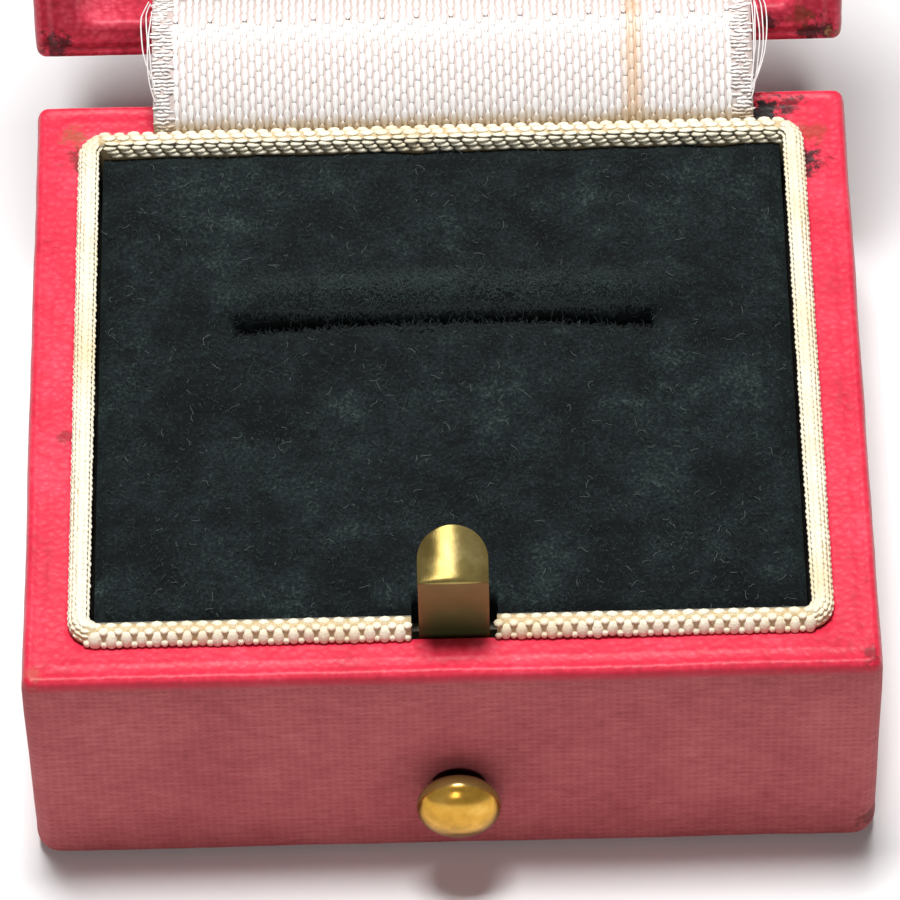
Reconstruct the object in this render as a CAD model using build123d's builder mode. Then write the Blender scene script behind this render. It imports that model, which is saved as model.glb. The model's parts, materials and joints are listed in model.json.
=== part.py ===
from build123d import *
import math
import os

os.makedirs("parts", exist_ok=True)

# Hinged ring box: a cloth-covered wooden tray and lid, a velvet pad with a ring slit, a cream slip
# round the opening, and a brass push-button that draws back a sprung catch.
# Millimetres, +Z up. Origin: centre of the underside. +Y runs to the hinge, the button faces -Y.

# Box, closed outside sizes
box_width = 50.0
box_depth = 44.6
base_height = 17.3
lid_height = 16.0
corner_radius = 1.2
rim_edge_radius = 0.7
bottom_edge_radius = 0.6
lid_top_radius = 1.0

# Walls, boards and covering
skin = 0.3
base_wall = 2.35
lid_wall = 2.2
bottom_board = 1.2
top_board = 1.2
bottom_paper = 0.15
paper_margin = 1.4
turn_in = 5.0
turn_under = 5.0
mouth_radius = 1.5

# Cream slip that stands proud round the opening
slip_card = 0.7
slip_fabric = 0.25
slip_proud = 1.0
slip_turn_down = 4.0
slip_gap = 5.0

# Velvet pad
pad_drop = 0.7
pad_thickness = 3.3
pad_board = 0.8
pad_edge_radius = 0.8
pad_clearance = 0.1
riser_width = 7.5
slit_length = 25.0
slit_width = 1.6
slit_back = 4.0
slit_edge_radius = 0.6
pad_notch = 1.3

# Push-button and catch
catch_x = 0.2
button_height = 6.5
button_radius = 2.5
button_stand_off = 1.54
button_bulge = 1.44
button_neck_gap = 0.45
shank_radius = 1.1
bush_wall = 0.35
bush_flange = 0.15
bush_flange_thickness = 0.1
washer_radius = 1.7
washer_thickness = 0.25
running_fit = 0.05
catch_width = 4.1
catch_thickness = 0.45
catch_wall_gap = 0.2
catch_foot_length = 6.5
catch_flex_gap = 0.1
nose_height = 5.2
nose_reach = 0.9
nose_slope_depth = 2.56
nose_slope_height = 2.6

# Hinge and ribbon
open_angle = 104.0
rim_gap = 0.1
hinge_offset = 1.6
hinge_length = 34.0
knuckle_count = 5
knuckle_radius = 0.9
knuckle_gap = 0.1
pin_radius = 0.4
leaf_thickness = 0.4
leaf_sunk = 0.05
leaf_on_rim = 2.2
leaf_clearance = 0.3
tack_radius = 0.3
tack_head_radius = 0.5
tack_length = 2.2
tack_fit = 0.02
ribbon_width = 37.3
ribbon_shift = 0.8
ribbon_thickness = 0.15
ribbon_gap = 0.3
ribbon_hem = 3.8
ribbon_lid_hem = 2.2
ribbon_base_bend = 1.2
ribbon_lid_bend = 0.5

# Lid lining and keeper
lining = 0.2
lining_setback = 3.0
lid_pad_board = 0.6
lid_pad_thickness = 3.0
lid_pad_edge_radius = 1.4
keeper_width = 7.0
keeper_thickness = 0.5
keeper_start = 1.2
keeper_clearance = 0.15
keeper_fit = 0.02
mortise_width = 5.6
mortise_depth = 1.3
mortise_length = 2.8
keeper_pin_radius = 0.25
keeper_pin_length = 1.1
keeper_pin_spacing = 5.4

# Worked out from the sizes above
base_rim = base_wall + 2 * skin
lid_rim = lid_wall + 2 * skin
front_y = -box_depth / 2
rear_y = box_depth / 2
floor_z = bottom_paper + skin + bottom_board
slip_thickness = slip_card + 2 * slip_fabric
slip_top = base_height + slip_proud
slip_width = box_width - 2 * base_rim
slip_front = front_y + base_rim
slip_rear = rear_y - base_rim - ribbon_gap
slip_depth = slip_rear - slip_front
slip_y = (slip_front + slip_rear) / 2
pad_width = slip_width - 2 * slip_thickness - 2 * pad_clearance
pad_depth = slip_depth - 2 * slip_thickness - 2 * pad_clearance
pad_front = slip_y - pad_depth / 2
pad_radius = max(mouth_radius - slip_thickness - pad_clearance, 0.2)
pad_top = slip_top - pad_drop
pad_underside = pad_top - pad_thickness
riser_top = pad_underside - pad_board
catch_front = slip_front + catch_wall_gap
catch_rear = catch_front + catch_thickness
nose_z = base_height + nose_height
hinge_y = rear_y + hinge_offset
hinge_z = base_height + rim_gap / 2

# Planes: y runs from the hinge line over the rim, z runs into the wood of the base or of the lid
swing = math.radians(open_angle)
lid_into = Vector(0, math.sin(swing), math.cos(swing))
lid_across = Vector(0, -math.cos(swing), math.sin(swing))
hinge_point = Vector(0, hinge_y, hinge_z)
base_hinge = Plane(origin=hinge_point, x_dir=(1, 0, 0), z_dir=(0, 0, -1))
lid_hinge = Plane(origin=hinge_point, x_dir=(-1, 0, 0), z_dir=lid_into)
lid_centre = hinge_point + lid_across * (hinge_offset + box_depth / 2) + lid_into * (rim_gap / 2)
lid_rim_plane = Plane(origin=lid_centre, x_dir=(-1, 0, 0), z_dir=lid_into)
lid_axis = Axis(lid_centre, lid_into)
hinge_axis = Axis(hinge_point, (1, 0, 0))


def slab(plane, width, depth, radius, low, high, centre=(0, 0), mode=Mode.ADD):
    """A flat block with rounded corners between two heights over a plane."""
    with BuildSketch(plane.offset(low)) as plan:
        with Locations(centre):
            RectangleRounded(width, depth, radius)
    extrude(plan.sketch, amount=high - low, mode=mode)


def bar(plane, width, depth, low, high, centre=(0, 0), mode=Mode.ADD):
    """A square-cornered block between two heights over a plane."""
    with BuildSketch(plane.offset(low)) as plan:
        with Locations(centre):
            Rectangle(width, depth)
    extrude(plan.sketch, amount=high - low, mode=mode)


def save(piece, node):
    """Name a finished piece and write it."""
    piece.part.label = node
    export_step(piece.part, f"parts/{node}.step")


# --- Base tray ---------------------------------------------------------------------------------

core_width = box_width - 2 * skin
core_depth = box_depth - 2 * skin
core_radius = corner_radius - skin
core_low = bottom_paper + skin
core_high = base_height - skin

# The wooden form inside the covering, as one shape
with BuildPart() as base_core:
    slab(Plane.XY, core_width, core_depth, core_radius, core_low, core_high)
    fillet(base_core.faces().sort_by(Axis.Z)[-1].edges(), rim_edge_radius - skin)
    fillet(base_core.faces().sort_by(Axis.Z)[0].edges(), bottom_edge_radius - skin)

# Four walls, hollow inside, bored for the button's bush and cut down for the hinge leaf
bush_radius = shank_radius + running_fit + bush_wall
rebate_width = hinge_length + 2 * tack_fit
rebate_depth = hinge_offset + leaf_on_rim + tack_fit
rebate_floor = rim_gap / 2 + leaf_sunk + leaf_thickness
cavity_width = core_width - 2 * base_wall
cavity_depth = core_depth - 2 * base_wall
tack_places = [hinge_length * share for share in (-0.4, -0.2, 0.2, 0.4)]
tack_row = hinge_offset + leaf_on_rim / 2
with BuildPart() as base_carcass:
    add(base_core.part)
    slab(Plane.XY, cavity_width, cavity_depth, mouth_radius + skin, 0, base_height, mode=Mode.SUBTRACT)
    bar(Plane.XY, box_width, box_depth, 0, floor_z, mode=Mode.SUBTRACT)
    bar(base_hinge, rebate_width, rebate_depth, -rim_gap, rebate_floor, (0, rebate_depth / 2), Mode.SUBTRACT)
    with Locations(Plane(origin=(catch_x, front_y, button_height), z_dir=(0, -1, 0))):
        Cylinder(bush_radius, 2 * base_rim, mode=Mode.SUBTRACT)
    with BuildSketch(base_hinge) as tack_holes:
        with Locations([(x, tack_row) for x in tack_places]):
            Circle(tack_radius + tack_fit)
    extrude(amount=rim_gap + leaf_sunk + tack_length, mode=Mode.SUBTRACT)
save(base_carcass, "base_carcass")

# Thin board that closes the tray underneath
foot_y = catch_front + catch_foot_length / 2 + catch_thickness
foot_tacks = [foot_y - catch_foot_length / 5, foot_y + catch_foot_length / 5]
foot_tack_length = catch_thickness + bottom_board * 0.75
with BuildPart() as base_bottom_board:
    add(base_core.part)
    bar(Plane.XY, box_width, box_depth, floor_z, base_height, mode=Mode.SUBTRACT)
    with Locations([(catch_x, y, floor_z) for y in foot_tacks]):
        Cylinder(tack_radius + tack_fit, 2 * (foot_tack_length - catch_thickness), mode=Mode.SUBTRACT)
save(base_bottom_board, "base_bottom_board")

# Red book-cloth: over the outside and the rim, turned in down the walls and under the board
with BuildPart() as base_cover:
    slab(Plane.XY, box_width, box_depth, corner_radius, bottom_paper, base_height)
    fillet(base_cover.faces().sort_by(Axis.Z)[-1].edges(), rim_edge_radius)
    fillet(base_cover.faces().sort_by(Axis.Z)[0].edges(), bottom_edge_radius)
    slab(Plane.XY, slip_width, box_depth - 2 * base_rim, mouth_radius, core_low, base_height, mode=Mode.SUBTRACT)
    add(base_core.part, mode=Mode.SUBTRACT)
    slab(Plane.XY, cavity_width, cavity_depth, mouth_radius + skin, base_height - turn_in - skin, core_high)
    slab(Plane.XY, slip_width, box_depth - 2 * base_rim, mouth_radius, core_low, base_height, mode=Mode.SUBTRACT)
    bar(Plane.XY, box_width - 2 * turn_under, box_depth - 2 * turn_under, 0, core_low, mode=Mode.SUBTRACT)
    bar(base_hinge, rebate_width, rebate_depth, -rim_gap, rebate_floor, (0, rebate_depth / 2), Mode.SUBTRACT)
    with Locations(Plane(origin=(catch_x, front_y, button_height), z_dir=(0, -1, 0))):
        Cylinder(bush_radius, 2 * skin, mode=Mode.SUBTRACT)
save(base_cover, "base_cover")

# Paper pasted over the turned-under edges
with BuildPart() as base_bottom_paper:
    paper_width = box_width - 2 * paper_margin
    slab(Plane.XY, paper_width, box_depth - 2 * paper_margin, corner_radius, 0, bottom_paper)
save(base_bottom_paper, "base_bottom_paper")

# --- Cream slip --------------------------------------------------------------------------------

card_width = slip_width - 2 * slip_fabric
card_depth = slip_depth - 2 * slip_fabric
card_radius = mouth_radius - slip_fabric
inner_width = slip_width - 2 * slip_thickness
inner_depth = slip_depth - 2 * slip_thickness
inner_radius = mouth_radius - slip_thickness
gap_depth = 3 * slip_thickness
gap_centre = (catch_x, slip_front)

# Stiff card that stands on the floor inside the walls
with BuildPart() as slip_core:
    slab(Plane.XY, card_width, card_depth, card_radius, floor_z, slip_top - slip_fabric, (0, slip_y))
    slab(
        Plane.XY, card_width - 2 * slip_card, card_depth - 2 * slip_card, card_radius - slip_card,
        floor_z, slip_top, (0, slip_y), Mode.SUBTRACT,
    )
    bar(Plane.XY, slip_gap, gap_depth, floor_z, slip_top, gap_centre, Mode.SUBTRACT)
save(slip_core, "slip_card")

# Beaded cream braid folded over the card's top edge
with BuildPart() as slip_cover:
    braid_low = slip_top - slip_turn_down
    slab(Plane.XY, slip_width, slip_depth, mouth_radius, braid_low, slip_top, (0, slip_y))
    slab(Plane.XY, inner_width, inner_depth, inner_radius, braid_low, slip_top, (0, slip_y), Mode.SUBTRACT)
    fillet(slip_cover.faces().sort_by(Axis.Z)[-1].edges(), slip_thickness * 0.35)
    bar(Plane.XY, slip_gap, gap_depth, floor_z, slip_top, gap_centre, Mode.SUBTRACT)
    add(slip_core.part, mode=Mode.SUBTRACT)
save(slip_cover, "slip_cover")

# --- Velvet ring pad ---------------------------------------------------------------------------

notch_centre = (catch_x, pad_front)

# Two wooden blocks that carry the pad's board at the right height
with BuildPart() as pad_risers:
    for side in (-1, 1):
        riser_x = side * (pad_width - riser_width) / 2
        bar(Plane.XY, riser_width, pad_depth, floor_z, riser_top, (riser_x, slip_y))
save(pad_risers, "pad_risers")

# Stiff board with the slit cut through it
with BuildPart() as pad_card:
    slab(Plane.XY, pad_width, pad_depth, pad_radius, riser_top, pad_underside, (0, slip_y))
    slab(
        Plane.XY, slit_length, slit_width, slit_width * 0.49,
        riser_top, pad_underside, (0, slit_back), Mode.SUBTRACT,
    )
    bar(Plane.XY, slip_gap, 2 * pad_notch, riser_top, pad_underside, notch_centre, Mode.SUBTRACT)
save(pad_card, "pad_board")

# Velvet over wadding, rounded at its edges and into the slit
with BuildPart() as ring_pad:
    slab(Plane.XY, pad_width, pad_depth, pad_radius, pad_underside, pad_top, (0, slip_y))
    fillet(ring_pad.faces().sort_by(Axis.Z)[-1].edges(), pad_edge_radius)
    slab(
        Plane.XY, slit_length, slit_width, slit_width * 0.49,
        pad_underside, pad_top, (0, slit_back), Mode.SUBTRACT,
    )
    fillet(ring_pad.faces().sort_by(Axis.Z)[-1].inner_wires().edges(), slit_edge_radius)
    bar(Plane.XY, slip_gap, 2 * pad_notch, pad_underside, pad_top, notch_centre, Mode.SUBTRACT)
save(ring_pad, "ring_pad")

# --- Push-button -------------------------------------------------------------------------------

button_plane = Plane(origin=(catch_x, front_y, button_height), x_dir=(1, 0, 0), z_dir=(0, 0, 1))
wall_inside = skin + base_wall
bore_radius = shank_radius + running_fit

# Flanged brass bush that lines the hole in the front wall
with BuildPart() as button_bush:
    with BuildSketch(button_plane) as bush_profile:
        with BuildLine():
            Polyline(
                (bore_radius, wall_inside),
                (bush_radius, wall_inside),
                (bush_radius, 0),
                (bush_radius + bush_flange, 0),
                (bush_radius + bush_flange, -bush_flange_thickness),
                (bore_radius, -bush_flange_thickness),
                close=True,
            )
        make_face()
    revolve(axis=Axis((catch_x, front_y, button_height), (0, 1, 0)))
save(button_bush, "button_bush")

# Brass button on a plain shank: an oblate head, cut off flat behind so that it can travel
neck_y = -bush_flange_thickness - button_neck_gap
washer_front = wall_inside + running_fit
shank_end = washer_front + washer_thickness
with BuildPart() as push_button:
    with BuildSketch(button_plane) as button_profile:
        with Locations((0, -button_stand_off)):
            Ellipse(button_radius, button_bulge)
        with Locations((0, neck_y)):
            behind = (Align.CENTER, Align.MIN)
            Rectangle(2 * button_radius, button_radius, align=behind, mode=Mode.SUBTRACT)
            Rectangle(2 * shank_radius, shank_end - neck_y, align=behind)
        left = (Align.MAX, Align.CENTER)
        Rectangle(button_radius, 4 * button_radius, align=left, mode=Mode.SUBTRACT)
    revolve(axis=Axis((catch_x, front_y, button_height), (0, 1, 0)))
save(push_button, "push_button")

# Washer riveted on the shank's inner end, which holds the button in
with BuildPart() as button_washer:
    with BuildSketch(Plane(origin=(catch_x, front_y + washer_front, button_height), z_dir=(0, 1, 0))):
        Circle(washer_radius)
        Circle(shank_radius, mode=Mode.SUBTRACT)
    extrude(amount=washer_thickness)
save(button_washer, "button_washer")

# --- Catch -------------------------------------------------------------------------------------

foot_top = floor_z + catch_thickness

# Foot of the spring strip, tacked to the floor
with BuildPart() as catch_foot:
    foot_back = foot_y + catch_foot_length / 2
    bar(
        Plane.XY, catch_width, foot_back - catch_front, floor_z, foot_top,
        (catch_x, (foot_back + catch_front) / 2),
    )
    with Locations([(catch_x, y, foot_top) for y in foot_tacks]):
        CounterSinkHole(tack_radius + tack_fit, tack_head_radius + tack_fit, counter_sink_angle=90)
save(catch_foot, "catch_foot")

# Upright strip with its pressed nose and rounded, leaning tip
slope_length = math.hypot(nose_slope_depth, nose_slope_height)
slope_back = catch_thickness * nose_slope_height / slope_length
slope_drop = catch_thickness * nose_slope_depth / slope_length
tip_y = catch_front - nose_reach + nose_slope_depth
tip_z = nose_z + nose_slope_height
under_tip = (tip_y + slope_back, tip_z - slope_drop)
bend_z = under_tip[1] - (under_tip[0] - catch_rear) * nose_slope_height / nose_slope_depth
tip_round = catch_width / 2 * nose_slope_height / slope_length
with BuildPart() as catch_spring:
    with BuildSketch(Plane.YZ.offset(catch_x)) as catch_profile:
        with BuildLine():
            Polyline(
                (catch_front, foot_top + catch_flex_gap),
                (catch_front, nose_z),
                (catch_front - nose_reach, nose_z),
                (tip_y, tip_z),
                under_tip,
                (catch_rear, bend_z),
                (catch_rear, foot_top + catch_flex_gap),
                close=True,
            )
        make_face()
    extrude(amount=catch_width / 2, both=True)
    fillet(catch_spring.edges().filter_by(Axis.X).sort_by(Axis.Y)[0], catch_thickness * 0.4)
    with BuildSketch(Plane.XZ) as catch_outline:
        straight = tip_z - tip_round - floor_z
        with Locations((catch_x, floor_z + straight / 2)):
            Rectangle(catch_width, straight)
        with Locations((catch_x, tip_z - tip_round)):
            Ellipse(catch_width / 2, tip_round)
    extrude(amount=box_depth, both=True, mode=Mode.INTERSECT)
save(catch_spring, "catch_spring")

# --- Tacks -------------------------------------------------------------------------------------


def tack(place, length):
    """A countersunk tack, its head flush with the plane's surface and its shank along +Z."""
    head_depth = tack_head_radius - tack_radius
    with BuildSketch(Plane(origin=place.origin, x_dir=place.x_dir, z_dir=place.x_dir.cross(place.z_dir))) as half:
        with BuildLine():
            Polyline(
                (0, 0), (tack_head_radius, 0), (tack_radius, head_depth),
                (tack_radius, length), (0, length),
                close=True,
            )
        make_face()
    revolve(half.sketch, axis=Axis(place.origin, place.z_dir))


def down_from(point):
    """A plane whose +Z points down into the board at a point."""
    return Plane(origin=point, x_dir=(1, 0, 0), z_dir=(0, 0, -1))


def on_leaf(plane, x):
    """A plane at one tack's place on a hinge leaf."""
    return Plane(
        origin=plane.from_local_coords((x, tack_row, rim_gap / 2 + leaf_sunk)),
        x_dir=plane.x_dir,
        z_dir=plane.z_dir,
    )


with BuildPart() as catch_tacks:
    for y in foot_tacks:
        tack(down_from((catch_x, y, foot_top)), foot_tack_length)
save(catch_tacks, "catch_tacks")

# --- Hinge -------------------------------------------------------------------------------------

knuckle_pitch = hinge_length / knuckle_count
leaf_low = rim_gap / 2 + leaf_sunk
leaf_start = knuckle_radius + leaf_clearance
leaf_end = hinge_offset + leaf_on_rim


def hinge_leaf(plane, knuckles):
    """A leaf sunk in a rim, with the rolled knuckles that it owns along the hinge line."""
    bar(
        plane, hinge_length, leaf_end - leaf_start, leaf_low, leaf_low + leaf_thickness,
        (0, (leaf_start + leaf_end) / 2),
    )
    for number in knuckles:
        x = (number - (knuckle_count - 1) / 2) * knuckle_pitch
        length = knuckle_pitch - knuckle_gap
        bar(plane, length, leaf_start, leaf_low, leaf_low + leaf_thickness, (x, leaf_start / 2))
        with Locations(Plane(origin=plane.from_local_coords((x, 0, 0)), z_dir=(1, 0, 0))):
            Cylinder(knuckle_radius, length)
    with Locations(Plane(origin=hinge_point, z_dir=(1, 0, 0))):
        Cylinder(pin_radius + running_fit, 2 * hinge_length, mode=Mode.SUBTRACT)
    for x in tack_places:
        place = on_leaf(plane, x)
        with Locations(Plane(origin=place.origin, x_dir=place.x_dir, z_dir=-place.z_dir)):
            CounterSinkHole(tack_radius + tack_fit, tack_head_radius + tack_fit, tack_length, counter_sink_angle=90)


with BuildPart() as hinge_leaf_base:
    hinge_leaf(base_hinge, range(0, knuckle_count, 2))
save(hinge_leaf_base, "hinge_leaf_base")

with BuildPart() as hinge_leaf_lid:
    hinge_leaf(lid_hinge, range(1, knuckle_count, 2))
save(hinge_leaf_lid, "hinge_leaf_lid")

with BuildPart() as hinge_pin:
    with Locations(Plane(origin=hinge_point, z_dir=(1, 0, 0))):
        Cylinder(pin_radius, hinge_length)
save(hinge_pin, "hinge_pin")

with BuildPart() as hinge_tacks_base:
    for x in tack_places:
        tack(on_leaf(base_hinge, x), tack_length)
save(hinge_tacks_base, "hinge_tacks_base")

with BuildPart() as hinge_tacks_lid:
    for x in tack_places:
        tack(on_leaf(lid_hinge, x), tack_length)
save(hinge_tacks_lid, "hinge_tacks_lid")

# Satin ribbon: glued down inside the rear wall, across both rims, and inside the lid's wall
ribbon_y = rear_y - base_rim - ribbon_gap / 2
lid_edge = hinge_offset + lid_rim + ribbon_gap / 2 + ribbon_thickness / 2
ribbon_lip = hinge_point + lid_across * lid_edge - lid_into * ribbon_thickness
ribbon_end = hinge_point + lid_across * lid_edge + lid_into * ribbon_lid_hem
with BuildPart() as hinge_ribbon:
    with BuildSketch(Plane.YZ.offset(ribbon_shift)) as ribbon_profile:
        with BuildLine():
            FilletPolyline(
                (ribbon_y, slip_top - ribbon_hem),
                (ribbon_y, slip_top),
                (ribbon_lip.Y, ribbon_lip.Z),
                (ribbon_end.Y, ribbon_end.Z),
                radius=(ribbon_base_bend, ribbon_lid_bend),
            )
            offset(amount=ribbon_thickness / 2, side=Side.BOTH)
        make_face()
    extrude(amount=ribbon_width / 2, both=True)
save(hinge_ribbon, "hinge_ribbon")

# --- Lid ---------------------------------------------------------------------------------------

lid_core_high = lid_height - skin
lid_cavity_width = core_width - 2 * lid_wall
lid_cavity_depth = core_depth - 2 * lid_wall
lid_ceiling = lid_core_high - top_board
lid_mouth_width = box_width - 2 * lid_rim
lid_mouth_depth = box_depth - 2 * lid_rim
lid_tack_reach = rim_gap / 2 + leaf_sunk + tack_length

# Keeper and the mortise for the catch's nose, over the lid's front wall
keeper_end = nose_z - hinge_z - rim_gap / 2 - keeper_clearance
keeper_face = box_depth / 2 - lid_rim
keeper_x = -catch_x
keeper_y = keeper_face + keeper_thickness / 2
mortise_y = keeper_face + mortise_depth / 2
keeper_pin_z = (keeper_start + keeper_end) / 2


def keeper_pocket():
    """Recess for the keeper plate, and the deeper mortise past its edge for the nose."""
    depth = lining + keeper_thickness + keeper_fit
    centre_y = keeper_face - lining + depth / 2
    bar(
        lid_rim_plane, keeper_width + 2 * keeper_fit, depth, keeper_start - keeper_fit, keeper_end,
        (keeper_x, centre_y), Mode.SUBTRACT,
    )
    bar(
        lid_rim_plane, mortise_width, mortise_depth + lining, keeper_end, keeper_end + mortise_length,
        (keeper_x, mortise_y - lining / 2), Mode.SUBTRACT,
    )


def lid_hinge_rebate():
    """Step cut in the lid's rear rim for the hinge leaf."""
    bar(lid_hinge, rebate_width, rebate_depth, -rim_gap, rebate_floor, (0, rebate_depth / 2), Mode.SUBTRACT)


def keeper_pins(radius):
    """The two pins that hold the keeper, as plain round shanks along the wall's thickness."""
    for side in (-1, 1):
        local = (keeper_x + side * keeper_pin_spacing / 2, keeper_face, keeper_pin_z)
        with BuildSketch(Plane(origin=lid_rim_plane.from_local_coords(local), z_dir=lid_across)) as shank:
            Circle(radius)
        extrude(shank.sketch, amount=keeper_pin_length, mode=Mode.ADD)


with BuildPart() as lid_core:
    slab(lid_rim_plane, core_width, core_depth, core_radius, skin, lid_core_high)
    fillet(lid_core.faces().sort_by(lid_axis)[-1].edges(), lid_top_radius - skin)
    fillet(lid_core.faces().sort_by(lid_axis)[0].edges(), rim_edge_radius - skin)

with BuildPart() as keeper_pin_pair:
    keeper_pins(keeper_pin_radius)
save(keeper_pin_pair, "keeper_pins")

with BuildPart() as keeper_plate:
    bar(
        lid_rim_plane, keeper_width, keeper_thickness, keeper_start, keeper_end - keeper_fit,
        (keeper_x, keeper_y),
    )
    add(keeper_pin_pair.part, mode=Mode.SUBTRACT)
save(keeper_plate, "keeper_plate")

# Four walls of the lid
with BuildPart() as lid_carcass:
    add(lid_core.part)
    slab(
        lid_rim_plane, lid_cavity_width, lid_cavity_depth, mouth_radius + skin,
        0, lid_height, mode=Mode.SUBTRACT,
    )
    bar(lid_rim_plane, box_width, box_depth, lid_ceiling, lid_height, mode=Mode.SUBTRACT)
    lid_hinge_rebate()
    keeper_pocket()
    add(keeper_pin_pair.part, mode=Mode.SUBTRACT)
    with BuildSketch(lid_hinge) as lid_tack_holes:
        with Locations([(x, tack_row) for x in tack_places]):
            Circle(tack_radius + tack_fit)
    extrude(amount=lid_tack_reach, mode=Mode.SUBTRACT)
save(lid_carcass, "lid_carcass")

# Board that closes the lid
with BuildPart() as lid_top_board:
    add(lid_core.part)
    bar(lid_rim_plane, box_width, box_depth, 0, lid_ceiling, mode=Mode.SUBTRACT)
save(lid_top_board, "lid_top_board")

# Covering of the lid, turned in over its rim
with BuildPart() as lid_cover:
    slab(lid_rim_plane, box_width, box_depth, corner_radius, 0, lid_height)
    fillet(lid_cover.faces().sort_by(lid_axis)[-1].edges(), lid_top_radius)
    fillet(lid_cover.faces().sort_by(lid_axis)[0].edges(), rim_edge_radius)
    add(lid_core.part, mode=Mode.SUBTRACT)
    slab(lid_rim_plane, lid_cavity_width, lid_cavity_depth, mouth_radius + skin, skin, turn_in + skin)
    slab(
        lid_rim_plane, lid_mouth_width, lid_mouth_depth, mouth_radius,
        0, lid_ceiling, mode=Mode.SUBTRACT,
    )
    lid_hinge_rebate()
    keeper_pocket()
save(lid_cover, "lid_cover")

# White lining band round the inside of the lid's walls
lid_pad_under = lid_ceiling - lid_pad_board
with BuildPart() as lid_lining:
    slab(lid_rim_plane, lid_mouth_width, lid_mouth_depth, mouth_radius, lining_setback, lid_ceiling)
    slab(
        lid_rim_plane, lid_mouth_width - 2 * lining, lid_mouth_depth - 2 * lining, mouth_radius - lining,
        lining_setback, lid_ceiling, mode=Mode.SUBTRACT,
    )
    keeper_pocket()
save(lid_lining, "lid_lining")

lid_pad_width = lid_mouth_width - 2 * lining - 2 * pad_clearance
lid_pad_depth = lid_mouth_depth - 2 * lining - 2 * pad_clearance
lid_pad_radius = mouth_radius - lining - pad_clearance

# Card and padded satin that line the lid's roof
with BuildPart() as lid_card:
    slab(lid_rim_plane, lid_pad_width, lid_pad_depth, lid_pad_radius, lid_pad_under, lid_ceiling)
save(lid_card, "lid_pad_board")

with BuildPart() as lid_satin_pad:
    lid_pad_face = lid_pad_under - lid_pad_thickness
    slab(lid_rim_plane, lid_pad_width, lid_pad_depth, lid_pad_radius, lid_pad_face, lid_pad_under)
    fillet(lid_satin_pad.faces().sort_by(lid_axis)[0].edges(), lid_pad_edge_radius)
save(lid_satin_pad, "lid_satin_pad")
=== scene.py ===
import json
import math
import random

import bmesh
import bpy
from mathutils import Euler, Matrix, Vector, noise


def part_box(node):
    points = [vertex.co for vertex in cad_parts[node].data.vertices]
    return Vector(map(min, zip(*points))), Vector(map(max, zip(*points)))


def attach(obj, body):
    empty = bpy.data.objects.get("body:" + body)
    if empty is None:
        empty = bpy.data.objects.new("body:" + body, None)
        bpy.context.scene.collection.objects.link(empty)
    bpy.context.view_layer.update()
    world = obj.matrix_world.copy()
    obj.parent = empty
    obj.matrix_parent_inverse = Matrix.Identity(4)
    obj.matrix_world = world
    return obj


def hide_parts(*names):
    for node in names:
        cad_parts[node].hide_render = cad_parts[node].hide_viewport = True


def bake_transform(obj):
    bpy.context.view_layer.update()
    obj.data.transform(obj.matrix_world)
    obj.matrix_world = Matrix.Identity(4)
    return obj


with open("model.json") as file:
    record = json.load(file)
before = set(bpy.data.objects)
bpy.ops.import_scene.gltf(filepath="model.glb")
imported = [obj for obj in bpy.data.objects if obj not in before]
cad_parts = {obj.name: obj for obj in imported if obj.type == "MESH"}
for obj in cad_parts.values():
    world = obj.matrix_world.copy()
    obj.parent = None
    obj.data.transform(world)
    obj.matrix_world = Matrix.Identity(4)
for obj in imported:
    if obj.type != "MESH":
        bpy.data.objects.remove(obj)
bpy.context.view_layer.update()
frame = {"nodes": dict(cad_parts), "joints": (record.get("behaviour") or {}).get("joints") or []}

MM = 0.001


# --- Bare wood, boards and paper ---------------------------------------------------------------
# The walls, boards and blocks are sawn beech and grey pasteboard, glued up before covering. They
# show only under the base and down the slit, and keep their CAD shapes.

def linear(code):
    """The linear colour of an sRGB hex value such as 'C8A27A'."""
    channels = [int(code[i:i + 2], 16) / 255 for i in (0, 2, 4)]
    return [c / 12.92 if c <= 0.04045 else ((c + 0.055) / 1.055) ** 2.4 for c in channels] + [1.0]


def plug(tree, node, *values, **named):
    """Feeds a node's live inputs: values in their order, and the others by name without spaces."""
    live = [s for s in node.inputs if s.enabled]
    called = {s.name.replace(" ", ""): s for s in reversed(live)}
    for socket, value in [*zip(live, values), *((called[name], value) for name, value in named.items())]:
        if isinstance(value, bpy.types.Node):
            value = next(s for s in value.outputs if s.enabled)
        if isinstance(value, bpy.types.NodeSocket):
            tree.links.new(value, socket)
        else:
            socket.default_value = value


def add(tree, kind, *values, stops=(), **named):
    """Adds a node. Kind is its name, with its operation behind a space. Names in small letters are its
    settings, the rest are inputs for plug, and stops are a ramp's (position, sRGB hex)."""
    kind, _, operation = kind.partition(" ")
    new = tree.nodes.new("ShaderNode" + kind)
    if operation:
        new.operation = operation
    for name in [n for n in named if n[0].islower()]:
        setattr(new, name, named.pop(name))
    for _ in stops[2:]:
        new.color_ramp.elements.new(0.5)
    if stops:
        for element, (position, code) in zip(new.color_ramp.elements, stops):
            element.position = position
            element.color = linear(code)
    plug(tree, new, *values, **named)
    return new


def finish_material(name):
    """An empty material: its tree, its Principled shader and its Object coordinates."""
    made = bpy.data.materials.new(name)
    made.use_nodes = True
    tree = made.node_tree
    shader = tree.nodes["Principled BSDF"]
    place = add(tree, "TexCoord").outputs["Object"]
    return made, tree, shader, place


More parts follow.
